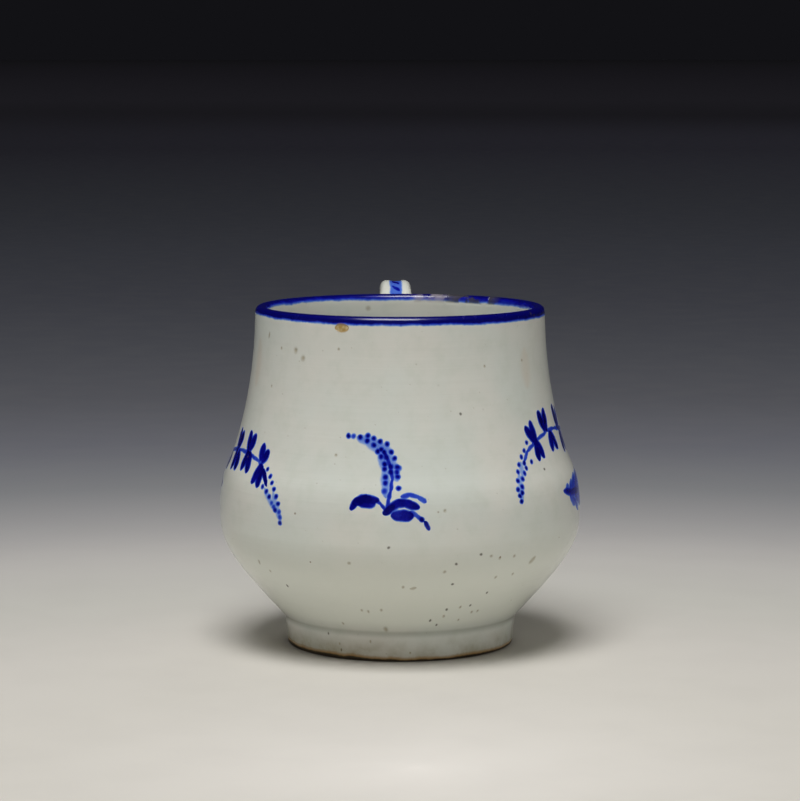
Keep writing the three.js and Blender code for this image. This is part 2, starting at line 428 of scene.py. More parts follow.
def strapStations(line, lengths):
    # the strap's rings: middle, heading, width and thickness
    def pointAt(along):
        return [np.interp(min(max(along, 0), lengths[-1]), lengths, line[:, i]) for i in (0, 1)]

    stations = []
    for ring in range(strap["rings"]):
        share = ring / (strap["rings"] - 1)
        along = share * lengths[-1]
        back = pointAt(along - strap["headingReach"])
        ahead = pointAt(along + strap["headingReach"])
        heading = atan2(ahead[1] - back[1], ahead[0] - back[0])
        stations.append((pointAt(along), heading, *strapSizeAt(share)))
    return stations


def makeHandle():
    line = strapLine()
    lengths = np.concatenate([[0], np.cumsum(np.linalg.norm(np.diff(line, axis=0), axis=1))])
    stations = strapStations(line, lengths)

    (y, z), heading, width, thickness = stations[0]
    ring = []
    for across, out in strapSection(strap["groove"] / (thickness / 2)):
        lift = out * thickness / 2
        ring.append((across * width / 2, y - lift * sin(heading), z + lift * cos(heading)))
    handle = drawLine("handle_glazed", ring)
    bpy.ops.mesh.select_all(action="SELECT")
    bpy.ops.mesh.edge_face_add()
    for before, after in zip(stations, stations[1:]):
        centre = (0, axisY + after[0][0] * mm, after[0][1] * mm)
        extrudeBy((0, (after[0][0] - before[0][0]) * mm, (after[0][1] - before[0][1]) * mm))
        turn = after[1] - before[1]
        turn = (turn + pi) % (2 * pi) - pi
        bpy.ops.transform.rotate(value=-turn, orient_axis="X", center_override=centre)
        grow = (after[2] / before[2], after[3] / before[3], after[3] / before[3])
        bpy.ops.transform.resize(value=grow, center_override=centre)
    closeSkin()
    smoothSkin(handle, 2)
    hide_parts("handle")
    say("handle pulled")
    return handle, line, lengths


slipJoints = {
    "reach": 3.4,  # how far up the strap the slip is wiped
    "spread": 1.45,  # past the strap, on the wall
    "under": 0.12,  # how far the wiped edge lies inside the strap
    "sink": 0.6,  # how far it goes into the wall
    "film": 0.02,  # left on the wall where it is wiped thin
    "steps": 9,
    "linePoints": 200,  # of the strap's line, which lie near the joint
    "round": 0.85,  # how far the finger rounds off the strap's corners at the wall
    "upper": {"root": "neckRoot", "back": 1},
    "lower": {"root": "bellyRoot", "back": -1},
}


def slipRings(root, back, line, lengths):
    # rings from the strap down to the wall and into it: out, middle height, half width, half height
    near = (line if back > 0 else line[::-1])[:slipJoints["linePoints"]]
    slopes = np.gradient(near[:, 1], near[:, 0])
    rings = []
    for step in range(slipJoints["steps"] + 1):
        angle = pi / 2 * step / slipJoints["steps"]
        out = slipJoints["reach"] * (1 - sin(angle))
        spread = slipJoints["spread"] * (1 - cos(angle)) - slipJoints["under"]
        radius = root["wall"] + out
        slant = cos(atan2(np.interp(radius, near[:, 0], slopes), 1))
        share = (strap["intoWall"] + out / slant) / lengths[-1]
        width, thickness = strapSizeAt(share if back > 0 else 1 - share)
        height = np.interp(radius, near[:, 0], near[:, 1])
        rings.append((out, height, width / 2 + spread, thickness / 2 / slant + spread))
    out, height, wide, high = rings[-1]
    sink = slipJoints["sink"]
    drop = sink * tan(radians(root["rise"]))
    rings.append((-sink, height - drop, wide + 0.1, high + 0.1))
    return rings


def feather(slip, root, rings, body):
    # rounds the fillet towards the wall and draws it onto the wall, most of all its last ring
    outs, heights, wides, highs = [list(column)[::-1] for column in zip(*rings)]
    group = slip.vertex_groups.new(name="wiped")
    for vertex in slip.data.vertices:
        out = (vertex.co.y - axisY) / mm - root["wall"]
        share = min(1, max(0, 1 - out / slipJoints["reach"])) ** 2
        middle, wide, high = [np.interp(out, outs, column) * mm for column in (heights, wides, highs)]
        angle = atan2((vertex.co.z - middle) / high, vertex.co.x / wide)
        vertex.co.x += (wide * cos(angle) - vertex.co.x) * share * slipJoints["round"]
        vertex.co.z += (middle + high * sin(angle) - vertex.co.z) * share * slipJoints["round"]
        if out > -0.1:
            group.add([vertex.index], share, "REPLACE")
    modifier = slip.modifiers.new("wiped", "SHRINKWRAP")
    modifier.target = body
    modifier.vertex_group = group.name
    modifier.offset = slipJoints["film"] * mm
    bpy.ops.object.modifier_apply(modifier=modifier.name)


def makeSlip(which, name, node, body, line, lengths):
    back = slipJoints[which]["back"]
    root = strap[slipJoints[which]["root"]]
    rings = slipRings(root, back, line, lengths)
    out, height, wide, high = rings[0]
    section = strapSection(strap["groove"] / high)
    slip = drawLine(name, [(x * wide, root["wall"] + out, height + y * high * back) for x, y in section])
    bpy.ops.mesh.select_all(action="SELECT")
    bpy.ops.mesh.edge_face_add()
    for before, after in zip(rings, rings[1:]):
        extrudeBy((0, (after[0] - before[0]) * mm, (after[1] - before[1]) * mm))
        centre = (0, axisY + (root["wall"] + after[0]) * mm, after[1] * mm)
        grow = (after[2] / before[2], 1, after[3] / before[3])
        bpy.ops.transform.resize(value=grow, center_override=centre)
    closeSkin()
    feather(slip, root, rings, body)
    smoothSkin(slip, 2)
    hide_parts(node)
    say(f"{which} slip wiped")
    return slip


# Colours are as they look, from 0 to 255, and depths are in millimetres.
glazeLook = {
    "warm": (209, 208, 199),
    "cool": (203, 207, 199),
    "thick": (190, 195, 182),
    "low": (220, 223, 212),  # painted light thrown up from the floor, lighter between belly and foot, with a greener tint of the glaze there
    "bounceLightHeights": (31.0, 16.0, 8.5, 5.8),  # starts, is full, is full down to, ends
    "roughness": 0.14,
    "pit": (150, 140, 118),
    "pitDepth": 0.02,
    "ripple": 0.05,
    "turningLines": 0.03,
    "speck": (112, 88, 54),
    "speckDepth": 0.03,
    "smoke": (132, 116, 84),
    "speckled": (46.0, 22.0),  # specks from this height down to this one, where they are thickest
}

# how unevenly the brush covers
brushLook = {"grain": 0.24, "pool": 0.44, "least": 0.68}

# share of a full brush and the blue that it leaves
cobalt = [
    (0.0, (170, 184, 206)),
    (0.18, (128, 154, 208)),
    (0.38, (74, 108, 200)),
    (0.62, (30, 54, 180)),
    (0.85, (8, 10, 136)),
    (1.0, (2, 2, 93)),
]

# Brush marks lie at (around, height): around is from the front, to the right, at a radius of 34.
# A dot is one such place, and a stroke runs from one to another. A mark is as dark as told up to its
# core and gone at its bleed, both in shares of its half width.
wallRadius = 34
frontSprig = {
    "wash": {
        "half": 0.95,
        "core": 0.2,
        "bleed": 1.5,
        "dark": 0.33,
        "marks": [
            (-9.6, 45.1, -5.0, 44.2), (-7.8, 44.6, -4.4, 42.6), (-5.6, 43.9, -2.4, 42.4),
            (-3.8, 42.6, -1.5, 39.2), (-2.9, 40.4, -1.4, 37.4), (-4.9, 42.4, -3.4, 39.0),
            (-3.7, 39.8, -3.4, 34.4),
        ],
    },
    "dots": {
        "half": 0.38,
        "core": 0.35,
        "bleed": 1.95,
        "dark": 0.94,
        "marks": [
            (-11.6, 45.4), (-9.0, 45.2), (-7.5, 45.6), (-7.5, 44.6), (-6.2, 45.1), (-6.2, 43.8),
            (-4.8, 44.5), (-3.4, 44.1), (-5.3, 42.6), (-4.6, 43.0), (-4.0, 42.5), (-2.6, 42.6),
            (-1.9, 41.4), (-4.6, 41.7), (-3.8, 40.4), (-3.8, 39.5), (-2.6, 39.9), (-1.4, 39.8),
            (-2.6, 38.9), (-1.4, 38.9), (-1.3, 38.1), (-3.6, 38.0), (-3.6, 36.9), (-1.1, 36.0),
            (3.1, 30.2),
        ],
    },
    "paleDots": {
        "half": 0.46,
        "core": 0.3,
        "bleed": 1.7,
        "dark": 0.62,
        "marks": [(-10.5, 45.4), (-1.0, 39.6), (-3.7, 35.4), (-3.6, 41.6)],
    },
    "stem": {
        "half": 0.27,
        "core": 0.5,
        "bleed": 2.0,
        "dark": 0.68,
        "marks": [
            (-4.2, 42.7, -3.1, 41.1), (-3.4, 41.8, -2.6, 39.4), (-2.7, 40.2, -2.2, 37.1),
            (-2.3, 37.8, -2.5, 35.1), (-2.4, 35.7, -3.1, 33.3), (-2.8, 34.2, -3.4, 31.8),
            (-5.2, 33.8, -4.2, 32.9), (-4.6, 33.3, -3.3, 31.8),
        ],
    },
    "leaves": {
        "half": 0.78,
        "core": 0.68,
        "bleed": 1.38,
        "dark": 0.9,
        "marks": [
            (-9.4, 33.0, -6.9, 34.5), (-8.4, 34.1, -4.8, 33.7), (-3.0, 32.0, -0.6, 33.7),
            (-2.1, 33.1, 1.3, 33.4), (-0.3, 33.3, 2.6, 32.4),
        ],
    },
    "leafEnds": {
        "half": 0.62,
        "core": 0.75,
        "bleed": 1.4,
        "dark": 0.92,
        "marks": [(-9.8, 31.9, -8.5, 34.1), (-3.8, 31.2, -1.9, 32.7)],
    },
    "blobs": {
        "half": 1.1,
        "core": 0.74,
        "bleed": 1.28,
        "dark": 0.88,
        "marks": [(-8.4, 33.4, -5.5, 33.2), (-2.2, 31.0, 1.4, 30.8)],
    },
    "tips": {
        "half": 0.36,
        "core": 0.6,
        "bleed": 1.8,
        "dark": 0.56,
        "marks": [
            (-0.6, 34.4, 1.2, 34.9), (0.6, 34.9, 2.8, 34.3), (2.3, 34.5, 3.9, 33.4),
            (3.0, 34.0, 3.9, 33.4), (1.0, 31.7, 2.4, 30.7), (2.0, 31.0, 3.5, 29.8),
        ],
    },
    "tail": {
        "half": 0.34,
        "core": 0.5,
        "bleed": 1.8,
        "dark": 0.9,
        "marks": [(3.7, 29.8, 4.4, 28.1)],
    },
}

sideGarlands = {
    "middle": {"left": 58, "right": 52},  # each garland's far half mirrors its near half here
    "wash": {
        "half": 0.72,
        "core": 0.2,
        "bleed": 1.5,
        "dark": 0.22,
        "marks": [
            (-29.3, 34.4, -25.4, 30.3), (-26.8, 33.9, -24.2, 28.5), (25.6, 39.5, 25.0, 36.8),
            (24.2, 37.4, 23.5, 32.2),
        ],
    },
    "leaves": {
        "half": 0.93,
        "core": 0.68,
        "bleed": 1.45,
        "dark": 0.92,
        "marks": [
            (-33.4, 42.3, -33.1, 39.3), (-31.2, 41.2, -32.4, 39.0), (-32.3, 38.6, -33.6, 35.0),
            (-32.2, 38.3, -31.6, 34.5), (29.1, 45.7, 31.4, 43.0), (31.1, 46.8, 32.0, 42.8),
            (31.9, 43.0, 31.5, 39.4), (32.2, 42.8, 33.6, 39.7),
        ],
    },
    "sideLeaves": {
        "half": 1.06,
        "core": 0.68,
        "bleed": 1.45,
        "dark": 0.92,
        "marks": [
            (-40.2, 44.0, -39.2, 40.5), (-37.4, 43.6, -38.6, 40.8), (-38.8, 40.4, -39.8, 36.9),
            (-38.4, 40.3, -36.8, 36.7), (35.1, 48.2, 36.7, 44.6), (37.9, 48.5, 37.5, 44.5),
            (39.0, 44.0, 38.2, 40.6), (39.4, 43.8, 41.4, 40.7),
        ],
    },
    "farLeaves": {
        "half": 1.15,
        "core": 0.68,
        "bleed": 1.45,
        "dark": 0.95,
        "marks": [
            (-47.1, 43.8, -46.6, 40.4), (-44.6, 43.4, -45.6, 40.6), (-54.3, 38.9, -53.4, 35.7),
            (-51.7, 38.9, -50.6, 35.9), (-46.2, 39.9, -45.6, 36.4), (-44.6, 39.8, -42.8, 36.6),
            (44.6, 48.5, 45.8, 44.2), (48.2, 47.9, 47.2, 44.2), (47.0, 43.5, 46.4, 39.6),
            (48.4, 43.4, 49.6, 39.6),
        ],
    },
    "thinLeaf": {
        "half": 0.5,
        "core": 0.7,
        "bleed": 1.4,
        "dark": 0.95,
        "marks": [(-31.3, 37.8, -28.9, 34.9)],
    },
    "stem": {
        "half": 0.31,
        "core": 0.5,
        "bleed": 2.0,
        "dark": 0.6,
        "marks": [
            (-58.2, 38.9, -52.0, 39.2), (-53.0, 39.1, -43.6, 40.3), (-44.5, 40.2, -37.6, 40.2),
            (-39.2, 40.3, -32.9, 38.9), (-33.8, 39.1, -31.6, 37.9), (26.5, 39.4, 28.6, 41.6),
            (28.0, 41.2, 31.1, 42.6), (30.1, 42.3, 32.9, 43.2), (32.0, 43.0, 37.8, 44.4),
            (36.7, 44.4, 42.5, 44.4), (41.5, 44.5, 48.0, 43.7), (47.0, 43.8, 52.4, 43.5),
        ],
    },
    "dots": {
        "half": 0.36,
        "core": 0.35,
        "bleed": 1.9,
        "dark": 0.92,
        "marks": [
            (-30.0, 37.9), (-28.6, 36.7), (-27.6, 35.6), (-26.7, 34.5), (-25.8, 33.2),
            (-25.1, 31.9), (-24.4, 28.2), (-30.0, 34.6), (-28.6, 33.9), (-27.6, 32.9),
            (-25.7, 30.6), (28.6, 42.9), (27.3, 41.5), (26.1, 40.4), (24.9, 39.1), (24.1, 37.8),
            (23.5, 36.2), (23.0, 34.6), (23.2, 33.4), (28.8, 39.3), (26.5, 39.2), (26.7, 38.3),
            (25.8, 37.4), (24.8, 36.4), (24.2, 35.0), (23.9, 33.9), (23.4, 32.3),
        ],
    },
    "paleDots": {
        "half": 0.42,
        "core": 0.3,
        "bleed": 1.7,
        "dark": 0.55,
        "marks": [(-24.7, 30.3), (-24.4, 29.4), (-26.7, 31.9), (-26.1, 31.2)],
    },
}

# The flower under each garland, at its distance from the front: it lies on its side and opens backwards.
sideFlower = {
    "leftShift": 13,  # the left one stands further round
    "fill": {
        "half": 2.3,
        "core": 0.5,
        "bleed": 1.25,
        "dark": 0.33,
        "marks": [(40.2, 31.8, 51.4, 33.8), (41.0, 31.6, 51.0, 30.0)],
    },
    "bar": {
        "half": 0.7,
        "core": 0.5,
        "bleed": 1.5,
        "dark": 0.8,
        "marks": [(37.2, 32.7, 42.6, 31.6), (40.0, 31.8, 47.6, 31.8)],
    },
    "petals": {
        "half": 0.6,
        "core": 0.4,
        "bleed": 1.8,
        "dark": 0.52,
        "marks": [
            (38.4, 32.2, 40.0, 33.6), (40.0, 32.0, 42.6, 34.2), (41.2, 32.0, 46.0, 35.0),
            (43.0, 32.2, 50.6, 35.5), (44.4, 32.4, 53.4, 34.2), (44.8, 31.8, 54.4, 32.0),
            (44.4, 31.4, 53.2, 29.4), (43.2, 31.0, 50.2, 28.2), (41.4, 31.0, 45.8, 27.8),
            (40.0, 31.2, 42.6, 29.2),
        ],
    },
}

rimBand = {
    "outside": 66.5,  # the height at which it ends on the outside
    "inside": 66.85,
    "lean": 0.2,  # how much lower it ends at the right than in the middle
    "ragged": 0.8,
    "bristle": 0.35,
    "edge": 0.42,  # half of the height over which it fades
    "full": 1.12,
    "roughness": 0.07,
}

# Wear on the back of the lip: along it from left to right it starts, is full, is full up to and ends,
# in patches of a noise.
rimWear = {
    "rubbed": {
        "along": (1.5, 3.5, 10.0, 13.5),
        "scale": 330,
        "patches": (0.4, 0.58),
        "color": (160, 152, 150),
        "share": 0.6,
        "depth": 0,
    },
    "chipped": {
        "along": (6.5, 12.5, 19.0, 21.5),
        "scale": 300,
        "patches": (0.42, 0.52),
        "color": (64, 62, 48),
        "share": 0.8,
        "depth": 0.15,
    },
}

# Stains and painted shade towards the foot, each between the heights at which it starts and is full.
footLook = {
    # painted shade in the crease where belly meets foot, greenish grey
    "groove": {"heights": (4.5, 5.6), "share": 0.4, "color": (136, 141, 126)},
    "grime": {"heights": (6.0, 1.0), "share": 0.18, "color": (140, 128, 92)},
    "brown": {"heights": (1.25, 0.55), "share": 0.85, "color": (150, 110, 36)},
    # dark stain with a painted contact shadow along the foot's bottom edge, thicker at the left
    "black": {"heights": (0.62, 0.34), "share": 0.95, "color": (26, 19, 12)},
    "bareClay": {"heights": (0.12, 0.04), "share": 0.8, "color": (176, 160, 132)},
    "creaseShadeEnd": (6.6, 5.8),  # of the painted shade in the crease: ends at the first height, full up to the second
    "unevenGrime": 0.4,
    "moreAtLeft": {"grime": 0.25, "stainAndShadowLevel": 0.35},
    "ragged": 0.8,
}

# Marks of age and firing, and a painted pinkish reflection on each side of the neck, laid out like the
# brush marks; those inside lie at (x, height).
blemishes = {
    "blowOut": {
        "half": 0.8,
        "ring": (156, 124, 62),
        "pale": (206, 192, 150),
        "burnt": (166, 136, 74),
        "share": 0.9,
        "depth": 0.12,
        "marks": [(-15.8, 65.75, -12.8, 65.75)],
    },
    "tan": {
        "half": 0.26,
        "color": (138, 124, 86),
        "share": 0.58,
        "depth": 0.05,
        "marks": [
            (-37.2, 63.8, -37.6, 62.6), (-34.4, 53.4), (-31.8, 61.0), (-14.9, 61.7), (19.1, 58.2),
            (31.1, 58.6), (7.4, 31.8), (-13.9, 41.7), (-32.4, 19.0, -32.0, 19.8), (-29.9, 17.9),
            (-10.3, 21.5), (16.6, 22.4), (18.6, 21.8), (21.9, 21.8), (23.3, 17.9), (19.1, 17.7),
            (7.7, 19.7), (-0.2, 16.6), (1.2, 16.2, 2.4, 16.4), (13.5, 11.5), (17.4, 10.1),
            (19.1, 10.2), (10.1, 9.6), (14.7, 8.5), (-9.9, 11.1), (-8.3, 10.9), (-5.2, 11.3),
            (-16.5, 7.7), (-9.4, 4.1), (-19.3, 3.1), (2.2, 1.9),
        ],
    },
    "largeTan": {
        "half": 0.5,
        "marks": [(-26.8, 60.9), (-24.4, 59.5), (26.8, 19.8, 27.8, 20.9), (-4.7, 6.8)],
    },
    "dark": {
        "half": 0.26,
        "color": (62, 56, 42),
        "share": 0.8,
        "marks": [
            (-2.9, 24.8), (9.7, 21.2), (-27.1, 15.1), (9.8, 17.0), (18.8, 14.3), (16.0, 11.8),
            (10.3, 11.2), (6.9, 8.8), (9.0, 7.6), (-23.1, 4.9), (-18.8, 1.9), (32.2, 37.5),
            (12.3, 49.4), (14.4, 22.9), (38.0, 66.9), (36.4, 67.3),
        ],
    },
    # painted reflection: pinkish upright patches on each side of the neck
    "pinkReflection": {
        "half": 2.5,
        "color": (200, 176, 150),
        "share": 0.35,
        "marks": [(32.4, 53.4, 32.4, 60.6), (-43.0, 53.0, -43.0, 62.0)],
    },
    "inside": {
        "half": 0.45,
        "color": (126, 108, 72),
        "share": 0.45,
        "marks": [(-6.0, 65.1), (3.0, 40.0), (-12.0, 30.0)],
    },
}


def nearest(sheet, place, marks):
    # how far the nearest mark is, in shares of its half width, so 1 on its edge
    half = marks["half"]
    found = None
    for mark in marks["marks"]:
        if len(mark) == 2:
            reach = sheet.vectorMaths("DISTANCE", place, (*mark, 0)).out("Value")
        else:
            # an oval: the way to its two inner points adds up to its length
            x1, z1, x2, z2 = mark
            run = hypot(x2 - x1, z2 - z1)
            long = max(run / 2 + half * 0.25, half * 1.1)
            inner = sqrt(long * long - half * half) / run
            shares = (0.5 - inner, 0.5 + inner)
            ends = [(x1 + share * (x2 - x1), z1 + share * (z2 - z1), 0) for share in shares]
            first, second = [sheet.vectorMaths("DISTANCE", place, end).out("Value") for end in ends]
            reach = (first + second).maths("MULTIPLY_ADD", long / half / 2, half - long * long / half)
        found = reach if found is None else found.least(reach)
    return found / half


def brushed(sheet, place, groups):
    # how much blue the marks of these groups leave
    blue = None
    for marks in groups:
        reach = nearest(sheet, place, marks)
        layer = reach.rises(marks["bleed"], marks["core"]) * marks["dark"]
        blue = layer if blue is None else blue + layer - blue * layer
    return blue


def scattered(sheet, place, scale, size, share):
    # small round specks of uneven size in a share of the cells
    cell = sheet.add("ShaderNodeTexVoronoi", {"feature": "F1"}, {"Vector": place, "Scale": scale})
    chance = sheet.add("ShaderNodeSeparateXYZ", {}, [cell.out("Color")])
    chosen = chance.out("X").maths("LESS_THAN", share)
    reach = cell.out("Distance") / (chance.out("Y") * size + size * 0.4)
    return reach.rises(1.0, 0.4) * chosen


def glazeCoat(sheet, place):
    # colour, roughness and height of the bare glaze
    clouds = sheet.noise(place, 42, 3).out("Fac")
    mottle = sheet.noise(place, 260, 4, 0.6).out("Fac")
    ripple = sheet.noise(place, 130, 2).out("Fac")
    pits = scattered(sheet, place, 900, 0.16, 0.12)
    warm, cool, thick, pit = [paint(*glazeLook[name]) for name in ("warm", "cool", "thick", "pit")]
    color = sheet.mixColor(clouds.rises(0.35, 0.65), warm, cool)
    color = sheet.mixColor(mottle.rises(0.42, 0.75) * 0.35, color, thick)
    color = sheet.mixColor(pits * 0.3, color, pit)
    roughness = mottle.rises(0.3, 0.8) * 0.08 + glazeLook["roughness"]
    height = (ripple - 0.5) * glazeLook["ripple"] + (mottle - 0.5) * 0.006 - pits * glazeLook["pitDepth"]
    return color, roughness, height


def cobaltOver(sheet, color, blue, place):
    # the blue painting on the glaze, darker where the brush left more
    grain = sheet.noise(place, 1400, 3, 0.6).out("Fac") * brushLook["grain"]
    pool = sheet.noise(place, 420, 2).out("Fac") * brushLook["pool"]
    share = blue * (grain + pool + brushLook["least"])
    stops = [(position, paint(*shade)) for position, shade in cobalt]
    ink = sheet.add("ShaderNodeValToRGB", {"stops": stops}, [share])
    return sheet.mixColor(share.rises(0.0, 0.2), color, ink)


def finishGlaze(sheet, color, roughness, height):
    bump = sheet.add("ShaderNodeBump", {}, {"Strength": 1.0, "Distance": mm, "Height": height})
    inputs = {"Base Color": color, "Roughness": roughness, "Normal": bump}
    shader = sheet.add("ShaderNodeBsdfPrincipled", {}, inputs)
    sheet.add("ShaderNodeOutputMaterial", {}, [shader])


class CupWall:
    # where a point lies on the cup, in millimetres from its axis and from the table
    def __init__(self, sheet):
        self.sheet = sheet
        source = sheet.add("ShaderNodeTexCoord")
        self.place = source.out("Object")
        split = sheet.add("ShaderNodeSeparateXYZ", {}, [self.place])
        self.x, self.z = split.out("X") / mm, split.out("Z") / mm
        self.y = (split.out("Y") - axisY) / mm
        self.radius = (self.x * self.x + self.y * self.y).maths("SQRT")
        self.around = self.x.maths("ARCTAN2", self.y * -1) * wallRadius
        outwards = sheet.add("ShaderNodeCombineXYZ", {}, [self.x, self.y, 0.0])
        facing = sheet.vectorMaths("DOT_PRODUCT", source.out("Normal"), outwards)
        self.outside = facing.out("Value").rises(-4.0, 2.0)
        self.front = self.y.rises(2.0, -2.0) * self.outside
        # the hand that held the brush: the marks' edges wander a little
        wander = sheet.vectorMaths("SUBTRACT", self.noise(620, 2, "Color"), (0.5, 0.5, 0.5))
        self.tremor = sheet.vectorMaths("MULTIPLY", wander, (0.45, 0.45, 0.0))

    def noise(self, scale, detail, output="Fac", roughness=0.5):
        return self.sheet.noise(self.place, scale, detail, roughness).out(output)

    def spread(self, across):
        # the wall laid flat, as the brush marks are
        flat = self.sheet.add("ShaderNodeCombineXYZ", {}, [across, self.z, 0.0])
        return self.sheet.vectorMaths("ADD", flat, self.tremor)


def brushwork(sheet, wall):
    # the front sprig, and a garland with its flower on each side, even about the garland's middle
    right = wall.x.maths("GREATER_THAN", 0.0)
    middle = sideGarlands["middle"]
    centre = right * (middle["right"] - middle["left"]) + middle["left"]
    folded = (centre - abs(abs(wall.around) - centre)) * (right * 2 - 1)
    shifted = abs(wall.around) - (1 - right) * sideFlower["leftShift"]
    garland = [marks for name, marks in sideGarlands.items() if name != "middle"]
    flower = [marks for name, marks in sideFlower.items() if name != "leftShift"]
    blue = brushed(sheet, wall.spread(wall.around), frontSprig.values()) * wall.front
    blue = blue.most(brushed(sheet, wall.spread(folded), garland) * wall.outside)
    return blue.most(brushed(sheet, wall.spread(shifted), flower) * wall.outside)


def rimPaint(sheet, wall):
    # ragged below and thinner inside
    lip = cupBody["lip"]
    outer = lip["centre"][0] + lip["radius"]
    slope = (rimBand["inside"] - rimBand["outside"]) / lip["radius"] / 2
    limit = (outer - wall.radius) * slope + rimBand["outside"] - wall.x * (rimBand["lean"] / outer)
    limit = limit + (wall.noise(190, 3) - 0.5) * rimBand["ragged"]
    limit = limit + (wall.noise(1100, 2) - 0.5) * rimBand["bristle"]
    band = (wall.z - limit).rises(-rimBand["edge"], rimBand["edge"] * 1.3)
    return band * (wall.radius.rises(26.4, 27.4) * 0.3 + 0.7)


def lipWear(sheet, wall, color, height):
    # rubbed and chipped glaze
    back = wall.y.rises(10.0, 14.0) * wall.z.rises(66.0, 66.7)
    for wear in rimWear.values():
        start, full, fullTo, end = wear["along"]
        patches = wall.noise(wear["scale"], 3).rises(*wear["patches"])
        worn = back * wall.x.rises(start, full) * wall.x.rises(end, fullTo) * patches
        color = sheet.mixColor(worn * wear["share"], color, paint(*wear["color"]))
        if wear["depth"]:
            height = height - worn * wear["depth"]
    return color, height


def ageMarks(sheet, wall, color, height):
    # spots from the firing, a blown-out hollow below the lip, specks low down, and a painted pinkish
    # reflection on each side of the neck
    flat = wall.spread(wall.around)
    blowOut = blemishes["blowOut"]
    hollow = nearest(sheet, flat, blowOut)
    burnt = wall.noise(900, 2).rises(0.35, 0.65)
    inner = sheet.mixColor(burnt, paint(*blowOut["pale"]), paint(*blowOut["burnt"]))
    outer = hollow.rises(1.35, 0.85) * wall.front * blowOut["share"]
    color = sheet.mixColor(outer, color, paint(*blowOut["ring"]))
    color = sheet.mixColor(hollow.rises(0.9, 0.45) * wall.front * blowOut["share"], color, inner)

    spot = nearest(sheet, flat, blemishes["tan"]).least(nearest(sheet, flat, blemishes["largeTan"]))
    dark = nearest(sheet, flat, blemishes["dark"])
    pinkReflection = nearest(sheet, flat, blemishes["pinkReflection"])
    across = sheet.add("ShaderNodeCombineXYZ", {}, [wall.x, wall.z, 0.0])
    within = nearest(sheet, across, blemishes["inside"])
    layers = [
        ("tan", spot.rises(1.9, 0.2) * wall.outside),
        ("dark", dark.rises(1.6, 0.5) * wall.outside),
        ("inside", within.rises(1.8, 0.3) * (1 - wall.outside) * wall.y.rises(0.0, 5.0)),
        # the painted pinkish reflection on the neck's sides
        ("pinkReflection", pinkReflection.rises(1.1, 0.1) * wall.outside),
    ]
    for name, found in layers:
        marks = blemishes[name]
        color = sheet.mixColor(found * marks["share"], color, paint(*marks["color"]))

    low = wall.z.rises(*glazeLook["speckled"])
    fine = scattered(sheet, wall.place, 330, 0.085, 0.2) * (low * 0.7 + 0.14)
    color = sheet.mixColor(fine, color, paint(*glazeLook["speck"]))
    smoke = scattered(sheet, wall.place, 170, 0.07, 0.1) * low
    color = sheet.mixColor(smoke * 0.6, color, paint(*glazeLook["smoke"]))
    height = height - hollow.rises(1.1, 0.7) * wall.front * blowOut["depth"]
    height = height - spot.rises(1.0, 0.3) * blemishes["tan"]["depth"] - fine * glazeLook["speckDepth"]
    return color, height


def footStains(sheet, wall, color, roughness):
    # soiled towards the table, most of all at the left, with painted shade in the crease above the foot
    # and a painted contact shadow in the dark line at its bottom edge, and bare where it stands
    soil = wall.noise(240, 4, roughness=0.6)
    left = wall.x.rises(4.0, -14.0)
    more = footLook["moreAtLeft"]
    stainAndShadowLevel = wall.z - (soil - 0.5) * footLook["ragged"] - left * more["stainAndShadowLevel"]
    ring = wall.radius.rises(17.0, 19.5)
    # painted shade: the crease where belly meets foot
    groove = wall.z.rises(*footLook["creaseShadeEnd"]) * wall.radius.rises(20.0, 22.0)
    grime = soil.rises(0.35, 0.75) * footLook["unevenGrime"] + left * more["grime"]
    brown = stainAndShadowLevel.rises(*footLook["brown"]["heights"]) * ring
    # painted contact shadow with dark stain: the black line along the foot's bottom edge
    black = stainAndShadowLevel.rises(*footLook["black"]["heights"]) * ring
    bare = wall.z.rises(*footLook["bareClay"]["heights"])
    stains = {
        "groove": wall.z.rises(*footLook["groove"]["heights"]) * groove * footLook["groove"]["share"],
        "grime": wall.z.rises(*footLook["grime"]["heights"]) * (grime + footLook["grime"]["share"]),
        "brown": brown * footLook["brown"]["share"],
        "black": black * footLook["black"]["share"],
        "bareClay": bare * footLook["bareClay"]["share"],
    }
    for name, share in stains.items():
        color = sheet.mixColor(share, color, paint(*footLook[name]["color"]))
    return color, roughness.most(bare * 0.7).most(brown * 0.5)


def makeBodyGlaze():
    material = bpy.data.materials.new("painted_body_glaze")
    sheet = Sheet(material)
    wall = CupWall(sheet)
    color, roughness, height = glazeCoat(sheet, wall.place)
    starts, full, fullTo, ends = glazeLook["bounceLightHeights"]
    # painted light: the lower belly made lighter for the light the floor throws up, with a greener glaze
    # tint
    glazeToneShift = wall.z.rises(starts, full) * wall.z.rises(ends, fullTo) * 0.85
    color = sheet.mixColor(glazeToneShift, color, paint(*glazeLook["low"]))

    band = rimPaint(sheet, wall)
    blue = brushwork(sheet, wall).most(band * rimBand["full"])
    color = cobaltOver(sheet, color, blue, wall.place)
    roughness = roughness + band * rimBand["roughness"]
    color, height = lipWear(sheet, wall, color, height)
    color, height = ageMarks(sheet, wall, color, height)
    color, roughness = footStains(sheet, wall, color, roughness)
    turns = {"W": wall.z * 0.55, "Scale": 1.0, "Detail": 3.0}
    lines = sheet.add("ShaderNodeTexNoise", {"noise_dimensions": "1D"}, turns)
    height = height + lines.out("Fac") * glazeLook["turningLines"]
    finishGlaze(sheet, color, roughness, height)
    return material


handlePaint = {
    "half": 1.25,  # of the painted channel
    "wash": 0.42,
    "dab": 0.85,
    "pitch": 3.1,  # from one slanted dab to the next
    "slant": 0.8,
    "start": 7.0,  # along the strap, from the neck
    "end": 51.0,
}


